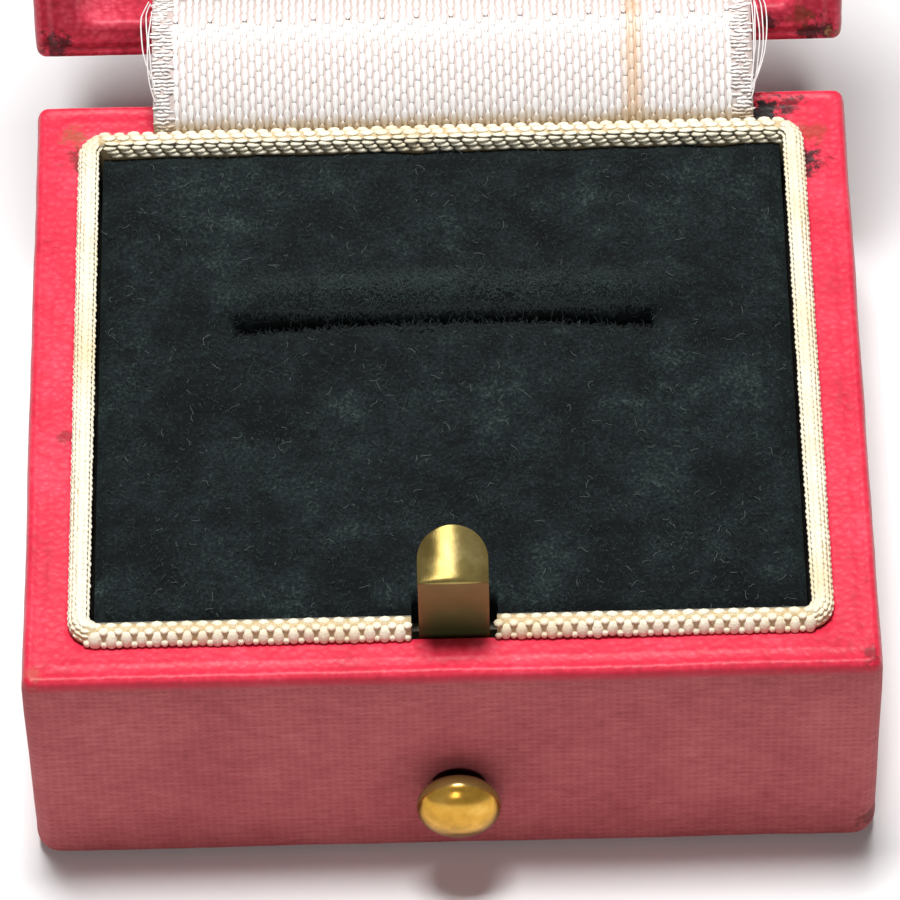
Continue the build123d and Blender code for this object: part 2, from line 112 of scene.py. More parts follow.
def wood_material():
    """Sawn beech: pale tan with fine pores along the grain, dry and matt."""
    made, tree, shader, place = finish_material("sawn_beech")
    grain = add(tree, "Mapping", Vector=place, Scale=(1 / (6 * MM), 1 / (0.5 * MM), 1 / (0.5 * MM)))
    pores = add(tree, "TexNoise", Vector=grain, Scale=1.0, Detail=4.0)
    tan = add(tree, "ValToRGB", pores, stops=[(0.3, "9C7248"), (0.55, "C79E6E"), (0.8, "D8B587")])
    bump = add(tree, "Bump", Height=pores, Distance=0.05 * MM)
    plug(tree, shader, BaseColor=tan, Normal=bump, Roughness=0.75)
    return made


def board_material(name, dark, light, fleck):
    """Pasteboard or paper: pressed fibres with small darker flecks."""
    made, tree, shader, place = finish_material(name)
    fibre = add(tree, "TexNoise", Vector=place, Scale=1 / (fleck * MM), Detail=5.0, Roughness=0.7)
    pulp = add(tree, "ValToRGB", fibre, stops=[(0.35, dark), (0.65, light)])
    bump = add(tree, "Bump", Height=fibre, Distance=0.03 * MM)
    plug(tree, shader, BaseColor=pulp, Normal=bump, Roughness=0.9)
    return made


def dress(material, *names):
    """Gives a material to CAD nodes that keep their shape."""
    for name in names:
        shown = frame["nodes"][name]
        shown.data.materials.clear()
        shown.data.materials.append(material)


dress(wood_material(), "base_carcass", "base_bottom_board", "pad_risers", "lid_carcass", "lid_top_board")
dress(board_material("grey_pasteboard", "6E675C", "8E8677", 0.5), "slip_card", "pad_board", "lid_pad_board")
dress(board_material("buff_foot_paper", "A8977C", "C6B798", 0.9), "base_bottom_paper")


# --- Red covering of base and lid --------------------------------------------------------------
# Embossed red leathercloth, pasted over the wood and turned in over the rims. It is glossy and
# pebbled on the rims, duller and thread-marked on the walls, and rubbed and inked at the back.

CORNER_STEPS = 7
WIDE_CUTS = 62
DEEP_CUTS = 55
COVER_DRAW = 0.28 * MM       # thickness of the covering
CRISP_CORNER = 0.75 * MM      # upright corners at the rim, at the far edge, and inside at the mouth
SOFT_CORNER = 1.5 * MM
MOUTH_CORNER = 1.5 * MM
LEAST_CORNER = 0.4 * MM
RIM_ROUNDING = 0.8 * MM      # how far in the rim's outer edge is rounded
TURN_IN = 1.5 * MM           # inside this from the walls' faces, and above this depth, the cloth
TURN_IN_DEEP = 8 * MM        # is the turned-in edge

base_low, base_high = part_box("base_cover")
rim_z = base_high.z
box_width = base_high.x - base_low.x
box_depth = base_high.y - base_low.y
front_y = base_low.y
rear_y = base_high.y

hinge = next(j for j in frame["joints"] if j["name"] == "lid_hinge")
hinge_point = Vector(hinge["pos_m"])
open_turn = math.radians(hinge["range_deg"][1])
swing = Matrix.Rotation(-open_turn, 4, "X")
OPEN_LID = Matrix.Translation(hinge_point) @ swing @ Matrix.Translation(-hinge_point)
lid_rim_z = 2 * hinge_point.z - rim_z


def pour(bm, part):
    """Adds what a smaller bmesh holds to a larger one."""
    drawn = bpy.data.meshes.new("part")
    part.to_mesh(drawn)
    part.free()
    bm.from_mesh(drawn)
    bpy.data.meshes.remove(drawn)


def ring(bm, width, depth, radius, height, middle=0.0, trim=None):
    """Adds a level rounded rectangle of edges, trimmed if asked, and returns its vertices' numbers."""
    loop = bmesh.new()
    corners = [
        loop.verts.new((sx * width / 2, middle + sy * depth / 2, height))
        for sx, sy in ((-1, -1), (1, -1), (1, 1), (-1, 1))
    ]
    loop.faces.new(corners)
    bmesh.ops.bevel(
        loop, geom=corners, offset=radius, affect="VERTICES",
        segments=CORNER_STEPS, profile=0.5, material=-1,
    )
    bmesh.ops.delete(loop, geom=loop.faces[:], context="FACES_ONLY")
    straight = sorted(loop.edges, key=lambda e: -e.calc_length())[:4]
    deep = [e for e in straight if abs(e.verts[0].co.y - e.verts[1].co.y) > MM]
    bmesh.ops.subdivide_edges(loop, edges=deep, cuts=DEEP_CUTS)
    straight = sorted(loop.edges, key=lambda e: -e.calc_length())[:2]
    bmesh.ops.subdivide_edges(loop, edges=straight, cuts=WIDE_CUTS)
    if trim:
        trim(loop)
    first = len(bm.verts)
    pour(bm, loop)
    return range(first, len(bm.verts))


def edges_among(verts):
    """The edges whose two ends are both in a set of vertices."""
    inside = set(verts)
    return list({e for v in verts for e in v.link_edges if e.verts[0] in inside and e.verts[1] in inside})


def bridge(bm, rings, closed=False):
    """Joins each ring of vertices to the next with faces, drawn large because bridging compares lengths."""
    bmesh.ops.scale(bm, vec=(1 / MM, 1 / MM, 1 / MM), verts=bm.verts)
    pairs = list(zip(rings, rings[1:]))
    if closed:
        pairs.append((rings[-1], rings[0]))
    for pair in pairs:
        bm.verts.ensure_lookup_table()
        edges = [e for numbers in pair for e in edges_among([bm.verts[n] for n in numbers])]
        bmesh.ops.bridge_loops(bm, edges=edges)
    bmesh.ops.scale(bm, vec=(MM, MM, MM), verts=bm.verts)


def hand_made(bm, amount, size, seed):
    """Moves vertices a little by smooth noise, as in hand work. Amount and size are in metres."""
    noise.seed_set(seed)      # without it noise_vector differs from run to run
    for v in bm.verts:
        v.co += noise.noise_vector(v.co / size + Vector((seed, seed * 1.7, 0))) * amount


def piece(name, bm, material, body=None, flip=None):
    """A mesh object at the origin, with one material, riding on a body."""
    if flip is not None:
        bmesh.ops.transform(bm, matrix=flip, verts=bm.verts)
    bmesh.ops.recalc_face_normals(bm, faces=bm.faces)
    mesh = bpy.data.meshes.new(name)
    bm.to_mesh(mesh)
    bm.free()
    mesh.materials.append(material)
    mesh.shade_smooth()
    made = bpy.data.objects.new(name, mesh)
    bpy.context.scene.collection.objects.link(made)
    if body:
        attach(made, body)
    return made


def cover_radius(inset, height, reach, crisp_height, soft_height):
    """Corner radius of the covering: crisp at the rim, softer at the far edge, the slip's at the mouth."""
    if inset < RIM_ROUNDING:
        share = min(max((height - crisp_height) / (soft_height - crisp_height), 0.0), 1.0)
        return max(CRISP_CORNER + (SOFT_CORNER - CRISP_CORNER) * share ** 3 - inset, LEAST_CORNER)
    share = (inset - RIM_ROUNDING) / (reach - RIM_ROUNDING)
    return LEAST_CORNER + (MOUTH_CORNER - LEAST_CORNER) * min(share, 1.0)


def cover_mesh(profile, reach, crisp_height, soft_height, seed):
    """The covering as a skin drawn through (inset, height) points from its foot to its turned-in edge."""
    bm = bmesh.new()
    rings = []
    for inset, height in profile:
        radius = cover_radius(inset, height, reach, crisp_height, soft_height)
        rings.append(ring(bm, box_width - 2 * inset, box_depth - 2 * inset, radius, height))
    bridge(bm, rings)
    hand_made(bm, 0.05 * MM, 7 * MM, seed)
    hand_made(bm, 0.025 * MM, 1.6 * MM, seed + 5)
    return bm


def leathercloth(name, lid, rim_colours, wall_colours, spots):
    """Leathercloth: glossy pebbled grain on the rim, thread marks on the walls, wear at named spots."""
    made, tree, shader, place = finish_material(name)

    # The covering's own axes: across, front to back, and down from the rim into the wall
    if lid:
        turned = Matrix.Rotation(open_turn, 4, "X")
        shift = hinge_point - turned @ hinge_point - Vector((0, 0, lid_rim_z))
        own = add(tree, "Mapping", Vector=place, Location=shift, Rotation=(open_turn, 0, 0))
    else:
        own = add(tree, "Mapping", Vector=place, Location=(0, 0, rim_z), Scale=(1, 1, -1))
    across, deep, down = add(tree, "SeparateXYZ", own).outputs

    # Where the wall's dull cloth lies, and where the turned-in edge and the rim stay glossy
    on_wall = add(
        tree, "MapRange", interpolation_type="SMOOTHSTEP", Value=down, FromMin=0.45 * MM, FromMax=0.95 * MM,
    )
    turned_in = add(tree, "Math LESS_THAN", down, TURN_IN_DEEP)
    for way, size in ((across, box_width), (deep, box_depth)):
        aside = add(tree, "Math ABSOLUTE", way)
        inner = add(tree, "Math LESS_THAN", aside, size / 2 - TURN_IN)
        turned_in = add(tree, "Math MULTIPLY", turned_in, inner)
    outside = add(tree, "Math SUBTRACT", 1.0, turned_in)
    wall = add(tree, "Math MULTIPLY", on_wall, outside)

    # Woven marks on the walls: threads both ways, about 0.44 mm apart, broken up unevenly
    along = add(tree, "Math ADD", across, deep)
    wobble = add(tree, "TexNoise", Vector=own, Scale=1 / (1.4 * MM), Detail=3.0)
    threads = []
    for way, spacing, stray in ((along, 0.46 * MM, 3.0), (down, 0.42 * MM, 4.0)):
        drift = add(tree, "Math MULTIPLY", wobble, stray)
        phase = add(tree, "Math MULTIPLY_ADD", way, 2 * math.pi / spacing, drift)
        threads.append(add(tree, "Math SINE", phase))
    drawn_out = add(tree, "Mapping", Vector=own, Scale=(1, 1, 3.5))
    slub = add(tree, "TexNoise", Vector=drawn_out, Scale=1 / (0.9 * MM), Detail=4.0, Roughness=0.65)
    crossing = add(tree, "Math MAXIMUM", *threads)
    thick = add(tree, "Math MULTIPLY", slub, 2.0)
    weave = add(tree, "Math MULTIPLY_ADD", crossing, 0.2, thick)

    # Pebbled grain on the rim, about 0.4 mm across, with finer creases between
    pebbles = add(
        tree, "TexVoronoi", feature="SMOOTH_F1",
        Vector=own, Scale=1 / (0.42 * MM), Smoothness=0.6, Randomness=0.9,
    )
    crease = add(tree, "TexNoise", Vector=own, Scale=1 / (0.25 * MM), Detail=4.0, Roughness=0.7)
    swell = add(tree, "Math SUBTRACT", 1.0, pebbles)
    grain = add(tree, "Math MULTIPLY_ADD", crease, 0.7, swell)

    # Colour: clouded with wear, and a deeper red painted where the rim turns down, as painted shade
    cloud = add(tree, "TexNoise", Vector=own, Scale=1 / (5 * MM), Detail=5.0, Roughness=0.6)
    rim_cloud = add(tree, "Math MULTIPLY", cloud, 0.78)
    # The pebble tops are painted a lighter pink, as painted highlights, over a cloud of wear.
    rim_wear_and_glint = add(tree, "Math MULTIPLY_ADD", grain, 0.26, rim_cloud)
    rim_red = add(tree, "ValToRGB", rim_wear_and_glint, stops=list(zip((0.38, 0.62, 0.85), rim_colours)))
    wall_cloud = add(tree, "Math MULTIPLY", cloud, 0.5)
    wall_tone = add(tree, "Math MULTIPLY_ADD", weave, 0.28, wall_cloud)
    wall_red = add(tree, "ValToRGB", wall_tone, stops=list(zip((0.28, 0.5, 0.75), wall_colours)))
    turned_down = add(
        tree, "MapRange", interpolation_type="SMOOTHSTEP",
        Value=down, FromMin=0.1 * MM, FromMax=0.4 * MM, ToMax=0.6,
    )
    edge_shade_share = add(tree, "Math MULTIPLY", turned_down, outside)
    rim_red = add(tree, "Mix", edge_shade_share, rim_red, linear(EDGE_SHADE_RED), data_type="RGBA")
    colour = add(tree, "Mix", wall, rim_red, wall_red, data_type="RGBA")

    # Ink blots, rubbed corners and tan scuffs, each a ragged patch round a point
    ragged = add(tree, "TexNoise", Vector=own, Scale=1 / (0.7 * MM), Detail=6.0, Roughness=0.75)
    for x, y, z, radius, code, cover in spots:
        away = add(tree, "VectorMath DISTANCE", own, (x * MM, y * MM, z * MM))
        near = add(tree, "Math DIVIDE", away, radius * MM)
        inward = add(tree, "Math SUBTRACT", 0.0, near)
        edge = add(tree, "Math MULTIPLY_ADD", ragged, 3.4, inward)
        share = add(tree, "MapRange", Value=edge, FromMin=0.95, FromMax=1.35, ToMax=cover)
        colour = add(tree, "Mix", share, colour, linear(code), data_type="RGBA")

    # Gloss and relief
    dull = add(tree, "Math MULTIPLY_ADD", crease, 0.3, 0.28)
    dull = add(tree, "Math MULTIPLY_ADD", wall, 0.34, dull)
    low_weave = add(tree, "Math MULTIPLY", weave, 0.8)
    relief = add(tree, "Mix", wall, grain, low_weave, data_type="FLOAT")
    bump = add(tree, "Bump", Height=relief, Distance=0.05 * MM, Strength=0.7)
    plug(tree, shader, BaseColor=colour, Roughness=dull, IOR=1.36, Normal=bump)
    return made


# Height points run from the turned-under edge, up the wall, over the beaded rim and down inside
BASE_REACH = 2.95 * MM
base_profile = [
    (5.0, 0.2), (2.4, 0.18), (0.75, 0.16), (0.4, 0.24), (0.14, 0.46), (0.02, 0.8), (0, 1.4), (0.04, 2.2),
    (0.05, 4), (0.06, 6), (0.06, 8), (0.06, 10), (0.05, 12), (0.05, 14), (0.06, 15.4), (0.07, 16.2),
    (0.1, 16.6), (0.16, 16.86), (0.2, 17.0), (0.3, 17.17), (0.46, 17.28), (0.62, 17.29), (0.78, 17.25),
    (0.95, 17.22), (1.25, 17.23), (1.42, 17.255), (1.55, 17.26), (1.7, 17.24), (2.0, 17.23),
    (2.45, 17.22), (2.75, 17.2), (2.88, 17.1), (2.94, 16.9), (2.95, 15.5), (2.95, 12.4),
]
base_profile = [(inset * MM, height * MM) for inset, height in base_profile]
BASE_SPOTS = [
    (19.9, 20.4, 0.1, 2.1, "14100F", 1.0), (22.3, 16.4, 0.1, 1.7, "241013", 0.95),
    (21.4, 20.9, 0.1, 1.3, "3A1216", 0.8), (22.7, 18.6, 0.1, 1.4, "9C3B24", 0.7),
    (-22.6, 19.6, 0.0, 1.2, "8A5A34", 0.6), (-22.0, 17.6, 0.2, 1.5, "5A2A22", 0.75),
    (24.3, -21.4, 0.2, 0.9, "6A1D22", 0.7), (-24.2, -21.5, 0.2, 0.9, "B85C4A", 0.5),
    (-22.6, -4.0, 0.1, 0.9, "6E1A20", 0.6), (24.6, -21.8, 15.5, 1.4, "5E2A22", 0.7),
]
RIM_REDS = ("BE1E38", "DC2A45", "E8465E")
WALL_REDS = ("903A40", "A84C50", "BE6264")
# painted shade on the rim's turned-down edge
EDGE_SHADE_RED = "A8142C"
base_red = leathercloth("red_leathercloth_base", False, RIM_REDS, WALL_REDS, BASE_SPOTS)
cover_bm = cover_mesh(base_profile, BASE_REACH, rim_z, 0.0, 3)
cover = piece("red_base_covering", cover_bm, base_red, "base")
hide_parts("base_cover")


def thicken(shown, thickness):
    """Gives a drawn skin its real thickness, inwards."""
    solid = shown.modifiers.new("thickness", "SOLIDIFY")
    solid.thickness = thickness
    solid.offset = -1


thicken(cover, COVER_DRAW)

# The lid's covering is drawn shut and then swung open with its wood
LID_HEIGHT = 16.0 * MM
LID_REACH = 2.8 * MM
lid_profile = [
    (12, 15.96), (5, 15.98), (2, 15.99), (1.0, 15.97), (0.62, 15.88), (0.28, 15.65), (0.08, 15.3),
    (0.02, 14.6), (0.05, 13), (0.06, 11), (0.06, 9), (0.06, 7), (0.05, 5), (0.05, 3), (0.06, 1.8),
    (0.08, 1.1), (0.13, 0.62), (0.2, 0.3), (0.32, 0.12), (0.5, 0.03), (0.68, 0.04), (0.86, 0.13),
    (1.05, 0.14), (1.2, 0.06), (1.35, 0.03), (1.5, 0.08), (1.75, 0.13), (2.2, 0.12), (2.5, 0.14),
    (2.68, 0.28), (2.77, 0.55), (2.8, 1.2), (2.8, 2.2), (2.8, 4.9),
]
lid_profile = [(inset * MM, lid_rim_z + height * MM) for inset, height in lid_profile]
LID_SPOTS = [
    (-23.6, 21.2, 0.2, 1.5, "2A0E10", 0.85), (23.3, 21.4, 0.3, 1.6, "201010", 0.9),
    (22.4, 20.2, 0.2, 1.2, "7C3A1C", 0.7), (20.5, 20.6, 0.0, 0.9, "1C0C0E", 0.85),
    (-21.0, 22.2, 0.8, 1.2, "3C1014", 0.7), (24.3, 22.0, 0.9, 1.2, "B98A5A", 0.6),
]
# The lid's rim reds start darker than the base's: painted shade for the open lid's rim, which faces away
# from the light.
lid_red_with_painted_shade = leathercloth(
    "red_leathercloth_lid", True, ("8C1828", "CC3048", "EC6074"), ("92343E", "AC4650", "C06066"), LID_SPOTS,
)
lid_bm = cover_mesh(lid_profile, LID_REACH, lid_rim_z, lid_rim_z + LID_HEIGHT, 11)
top_hole = [e for e in lid_bm.edges if e.is_boundary and e.verts[0].co.z > lid_rim_z + 15 * MM]
bmesh.ops.holes_fill(lid_bm, edges=top_hole)
lid_cover = piece("red_lid_covering", lid_bm, lid_red_with_painted_shade, "lid", OPEN_LID)
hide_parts("lid_cover")
thicken(lid_cover, COVER_DRAW)


# --- Cream slip --------------------------------------------------------------------------------
# A ribbed cream silk tape folded over a standing card. Its weft shows as small beads on both
# upright faces and as a soft plaited edge along the top. It stops short at the catch.

slip_low, slip_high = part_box("slip_cover")
slip_width = slip_high.x - slip_low.x
slip_depth = slip_high.y - slip_low.y
slip_middle = (slip_high.y + slip_low.y) / 2
slip_top = slip_high.z
catch_low, catch_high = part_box("catch_spring")
catch_x = (catch_low.x + catch_high.x) / 2
SLIP_GAP = 5.0 * MM
SLIP_RADIUS = MOUTH_CORNER
BEAD_PITCH = 0.88 * MM
BEAD_ROUND = 8
BEAD_RISE = 5
BEAD_RUN = 40


def stations(inset, pitch, start=0.0):
    """Points round the slip at an inset from its outer face: (point, heading), leaving out the gap."""
    half_x = slip_width / 2 - inset
    half_y = slip_depth / 2 - inset
    radius = SLIP_RADIUS - inset
    quarter = radius * math.pi / 2
    sides = [(half_x - radius) * 2, quarter, (half_y - radius) * 2, quarter] * 2
    corner = [Vector((half_x - radius, slip_middle + s * (half_y - radius), 0)) for s in (-1, 1)]
    corner += [Vector((-c.x, c.y, 0)) for c in reversed(corner)]
    found = []
    walked = start
    while walked < sum(sides):
        rest, side = walked, 0
        while rest > sides[side]:
            rest -= sides[side]
            side += 1
        heading = (side // 2) * math.pi / 2
        centre = corner[side // 2]
        if side % 2:
            heading += rest / radius
            point = centre + Vector((math.sin(heading), -math.cos(heading), 0)) * radius
        else:
            back = sides[side] - rest
            outward = Vector((math.sin(heading), -math.cos(heading), 0)) * radius
            point = centre + outward - Vector((math.cos(heading), math.sin(heading), 0)) * back
        in_gap = point.y < slip_middle and abs(point.x - catch_x) < SLIP_GAP / 2
        if not in_gap:
            found.append((point, heading))
        walked += pitch
    return found


def bead(centre, turn, size):
    """Where a small thread bead lies, how it leans and how large it is."""
    return Matrix.Translation(centre) @ turn.to_matrix().to_4x4() @ Matrix.Diagonal((*size, 1))


def bead_mesh(places):
    """Squashed balls of a few dozen faces each, drawn in short runs, which keeps each step quick."""
    bm = bmesh.new()
    for start in range(0, len(places), BEAD_RUN):
        run = bmesh.new()
        for place in places[start:start + BEAD_RUN]:
            bmesh.ops.create_uvsphere(
                run, u_segments=BEAD_ROUND, v_segments=BEAD_RISE, radius=0.5, matrix=place,
            )
        pour(bm, run)
    return bm


def tape_material(name, deep, light, age):
    """Silk tape: off-white threads with a soft sheen, yellowed unevenly with age."""
    made, tree, shader, place = finish_material(name)
    fibre = add(tree, "TexNoise", Vector=place, Scale=1 / (0.12 * MM), Detail=3.0)
    patch = add(tree, "TexNoise", Vector=place, Scale=1 / (6 * MM), Detail=3.0)
    fresh = add(tree, "ValToRGB", fibre, stops=[(0.3, deep), (0.7, light)])
    aged = add(tree, "MapRange", Value=patch, FromMin=0.5, FromMax=0.75, ToMax=0.55)
    yellowed = add(tree, "Mix", aged, fresh, linear(age), data_type="RGBA")
    bump = add(tree, "Bump", Height=fibre, Distance=0.04 * MM)
    plug(tree, shader, BaseColor=yellowed, Normal=bump, Roughness=0.5, SheenWeight=0.25)
    return made


cream_tape = tape_material("cream_silk_tape", "E6DCBE", "FBF5E2", "E0C68C")
slip_profile = [
    (0.14, -4.0), (0.14, -1.3), (-0.12, -1.07), (-0.22, -0.92), (-0.14, -0.6), (0.04, -0.3),
    (0.24, -0.13), (0.46, -0.06), (0.66, -0.09), (0.82, -0.2), (0.92, -0.4), (0.96, -0.7), (0.96, -1.6),
    (0.96, -4.0),
]


def open_at_catch(loop):
    """Cuts the gap for the catch out of a ring of the slip."""
    front = [v for v in loop.verts if v.co.y < slip_middle]
    gone = [v for v in front if abs(v.co.x - catch_x) < SLIP_GAP / 2 - 0.3 * MM]
    bmesh.ops.delete(loop, geom=gone, context="VERTS")
    for side in (-1, 1):
        near = [v for v in loop.verts if v.co.y < slip_middle and (v.co.x - catch_x) * side > 0]
        end = min(near, key=lambda v: abs(v.co.x - catch_x))
        end.co.x = catch_x + side * SLIP_GAP / 2


bm = bmesh.new()
rings = []
for inset, drop in slip_profile:
    inset, height = inset * MM, slip_top + drop * MM
    size = (slip_width - 2 * inset, slip_depth - 2 * inset)
    rings.append(ring(bm, *size, SLIP_RADIUS - inset, height, slip_middle, open_at_catch))
bridge(bm, rings, closed=True)
bmesh.ops.holes_fill(bm, edges=[e for e in bm.edges if e.is_boundary])
hand_made(bm, 0.03 * MM, 3 * MM, 21)
# The tape under the beads is painted darker and browner than the beads: painted shade between them.
fold_tape_painted_shade = tape_material("cream_tape_shaded_ground", "B89A68", "DAC69A", "C2A06A")
slip_body = piece("cream_slip_fold", bm, fold_tape_painted_shade, "base")
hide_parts("slip_cover")

# Weft beads of the front and rear runs. Each row: (inset of the centres, drop below the top, share of
# a pitch, length, thickness, height, lean over the edge), in mm and radians
FRONT_ROWS = [
    (-0.08, 0.58, 0.0, 0.74, 0.46, 1.08, 0.45), (-0.22, 0.84, 0.5, 0.46, 0.32, 0.44, 0.3),
    (0.20, 0.16, 0.5, 0.62, 0.62, 0.34, 0.3), (0.60, 0.12, 0.0, 0.80, 0.46, 0.30, -0.2),
]
REAR_ROWS = [
    (1.04, 0.36, 0.0, 0.86, 0.40, 0.30, -0.3), (1.12, 0.64, 0.5, 0.86, 0.36, 0.30, -0.2),
    (1.18, 0.92, 0.0, 0.86, 0.34, 0.32, 0.0), (0.86, 0.14, 0.5, 0.94, 0.46, 0.18, -0.3),
    (0.50, 0.06, 0.0, 0.96, 0.48, 0.14, 0.0), (0.16, 0.20, 0.5, 0.84, 0.44, 0.36, 0.4),
]
random.seed(5)
places = []
for rows, runs_here in ((FRONT_ROWS, lambda y: y < slip_middle), (REAR_ROWS, lambda y: y > slip_middle)):
    for inset, drop, share, length, thickness, height, lean in rows:
        for point, heading in stations(inset * MM, BEAD_PITCH, share * BEAD_PITCH):
            if abs(math.sin(heading)) > 0.35 or not runs_here(point.y):
                continue
            lift = slip_top - drop * MM + random.uniform(-0.03, 0.03) * MM
            swell = random.uniform(0.92, 1.08) * MM
            turn = Euler((-lean + random.uniform(-0.1, 0.1), random.uniform(-0.1, 0.1), heading), "XYZ")
            place = Vector((point.x, point.y, lift))
            places.append(bead(place, turn, (length * swell, thickness * swell, height * swell)))
slip_beads = piece("cream_slip_beads", bead_mesh(places), cream_tape, "base")

# The side runs: fine oblique strands, like a flattened cord
STRAND_PITCH = 0.4 * MM
STRAND_LEAN = math.radians(28)
places = []
SIDE_ROWS = [(0.02, 0.7), (0.1, 0.42), (0.28, 0.19), (0.5, 0.08), (0.72, 0.14), (0.88, 0.36)]
for inset, drop in SIDE_ROWS:
    for point, heading in stations(inset * MM, STRAND_PITCH, abs(inset) * STRAND_PITCH):
        if abs(math.sin(heading)) <= 0.35:
            continue
        place = Vector((point.x, point.y, slip_top - drop * MM + random.uniform(-0.02, 0.02) * MM))
        turn = Euler((0, 0, heading + STRAND_LEAN + random.uniform(-0.15, 0.15)))
        places.append(bead(place, turn, (0.84 * MM, 0.4 * MM, 0.16 * MM)))
strands = piece("cream_slip_strands", bead_mesh(places), cream_tape, "base")


# --- Velvet ring pad ---------------------------------------------------------------------------
# Cotton velvet, black with a green cast, glued over wadding and tucked into the ring slit. The
# front lip of the slit arches and the back rolls up higher. Lint and pale fibres cling to it.

pad_low, pad_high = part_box("ring_pad")
pad_middle = (pad_low.y + pad_high.y) / 2
SLIT_HALF = 12.5 * MM
SLIT_Y = 4.0 * MM
SLIT_DEEP = 4.5 * MM
PAD_COLUMNS = 180
PAD_ROWS = 190
NOTCH_DEEP = 1.7 * MM
NOTCH_HALF = 2.4 * MM


def smooth(low, high, value):
    """A smooth step from 0 to 1."""
    share = min(max((value - low) / (high - low), 0.0), 1.0)
    return share * share * (3 - 2 * share)


def slit_line(x):
    """The slit's middle, front to back: it arches a little away from the front."""
    return SLIT_Y + 0.35 * MM * (1 - (x / SLIT_HALF) ** 2) - 0.1 * MM


def in_notch(x, y):
    """Whether a place lies in the pad's notch, where the catch springs back."""
    return abs(x - catch_x) < NOTCH_HALF and y - pad_low.y < NOTCH_DEEP


def velvet_height(x, y):
    """Height of the velvet over the pad, before its pile."""
    edge = min(pad_high.x - abs(x), y - pad_low.y, pad_high.y - y)
    height = pad_high.z - 0.5 * MM * (1 - smooth(0, 1.3 * MM, edge)) ** 2
    line = slit_line(x)
    inside = 1 - smooth(SLIT_HALF - 0.5 * MM, SLIT_HALF + 0.4 * MM, abs(x))
    near = 1 - smooth(SLIT_HALF, SLIT_HALF + 4 * MM, abs(x))
    behind = y - line
    rear_roll = math.exp(-((behind - 2.2 * MM) / (1.2 * MM)) ** 2) * 0.6
    front_roll = math.exp(-((behind + 1.9 * MM) / (1.2 * MM)) ** 2) * 0.16
    height += (rear_roll + front_roll) * MM * near
    sunk = math.exp(-(behind / (0.9 * MM)) ** 2) * 0.22 * near
    height -= sunk * MM
    half_width = 0.2 * MM + 0.42 * MM * abs(x / SLIT_HALF) ** 2.5
    hole = 1 - smooth(half_width, half_width + 0.28 * MM, abs(behind))
    height -= hole * inside * SLIT_DEEP
    return height


bm = bmesh.new()
bmesh.ops.create_grid(bm, x_segments=PAD_COLUMNS, y_segments=PAD_ROWS, size=1.0)
pad_half_x = (pad_high.x - pad_low.x) / 2
pad_half_y = (pad_high.y - pad_low.y) / 2
slit_share = (SLIT_Y - pad_middle) / pad_half_y
TUFTS = [(0.5, 0.07, 3), (3, 0.2, 9), (0.25, 0.06, 6)]      # width and rise in mm, and a layer of noise
for v in bm.verts:
    share = v.co.y - slit_share
    reach = (1 - slit_share) if share > 0 else (1 + slit_share)
    drawn = math.copysign(abs(share / reach) ** 1.45, share) * reach + slit_share
    x = v.co.x * pad_half_x
    y = pad_middle + drawn * pad_half_y
    tuft = sum(
        noise.noise(Vector((x, y, layer * MM)) / (across * MM)) * rise for across, rise, layer in TUFTS
    )
    v.co = (x, y, velvet_height(x, y) + tuft * MM)
bmesh.ops.delete(bm, geom=[v for v in bm.verts if in_notch(v.co.x, v.co.y)], context="VERTS")
skirt = [e for e in bm.edges if e.is_boundary]
down = bmesh.ops.extrude_edge_only(bm, edges=skirt)["geom"]
for v in (g for g in down if isinstance(g, bmesh.types.BMVert)):
    v.co.z = pad_low.z
bmesh.ops.holes_fill(bm, edges=[e for e in bm.edges if e.is_boundary])


def velvet_material():
    """Cotton velvet: near black, with painted sheen in green where the pile leans to the light, and a soft
    edge sheen.
    """
    made, tree, shader, place = finish_material("black_green_velvet")
    nap = add(tree, "TexNoise", Vector=place, Scale=1 / (3.2 * MM), Detail=6.0, Roughness=0.62)
    pile = add(tree, "TexNoise", Vector=place, Scale=1 / (0.22 * MM), Detail=3.0, Roughness=0.7)
    # The nap's broad patches are painted lighter green-grey: painted sheen.
    painted_nap_sheen = add(tree, "Math MULTIPLY", nap, 0.62)
    tone = add(tree, "Math MULTIPLY_ADD", pile, 0.6, painted_nap_sheen)
    greens = [(0.4, "07090A"), (0.57, "0F1315"), (0.7, "1C2425"), (0.84, "3C4A46")]
    bump = add(tree, "Bump", Height=pile, Distance=0.12 * MM)
    plug(
        tree, shader, BaseColor=add(tree, "ValToRGB", tone, stops=greens), Normal=bump, Roughness=0.95,
        SpecularIORLevel=0.15, SheenWeight=0.12, SheenRoughness=0.4, SheenTint=linear("5E8078"),
    )
    return made


velvet = velvet_material()
pad = piece("velvet_ring_pad", bm, velvet, "base")
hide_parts("ring_pad")


def fibres(name, count, places, length, radius, stray, material, seed):
    """Loose fibres as fine bent threads. places gives each one's root; length is (shortest, longest)."""
    random.seed(seed)
    curve = bpy.data.curves.new(name, "CURVE")
    curve.dimensions = "3D"
    curve.bevel_depth = radius
    curve.bevel_resolution = 0
    curve.resolution_u = 2
    for _ in range(count):
        root = places()
        step = random.uniform(*length) / 3
        heading = random.uniform(0, 2 * math.pi)
        rise = random.uniform(0.0, stray)
        thread = curve.splines.new("POLY")
        thread.points.add(3)
        point = root
        for place in thread.points:
            place.co = (*point, 1)
            heading += random.uniform(-0.9, 0.9)
            point = point + Vector((math.cos(heading), math.sin(heading), rise)) * step
            rise -= stray * 0.5
    made = bpy.data.objects.new(name, curve)
    bpy.context.scene.collection.objects.link(made)
    curve.materials.append(material)
    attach(made, "base")
    return made


def on_velvet():
    """A random place on the pad's surface, clear of the slit."""
    while True:
        x = random.uniform(pad_low.x + 0.3 * MM, pad_high.x - 0.3 * MM)
        y = random.uniform(pad_low.y + 0.3 * MM, pad_high.y - 0.3 * MM)
        height = velvet_height(x, y)
        if height > pad_high.z - 0.9 * MM and not in_notch(x, y):
            return Vector((x, y, height + 0.05 * MM))


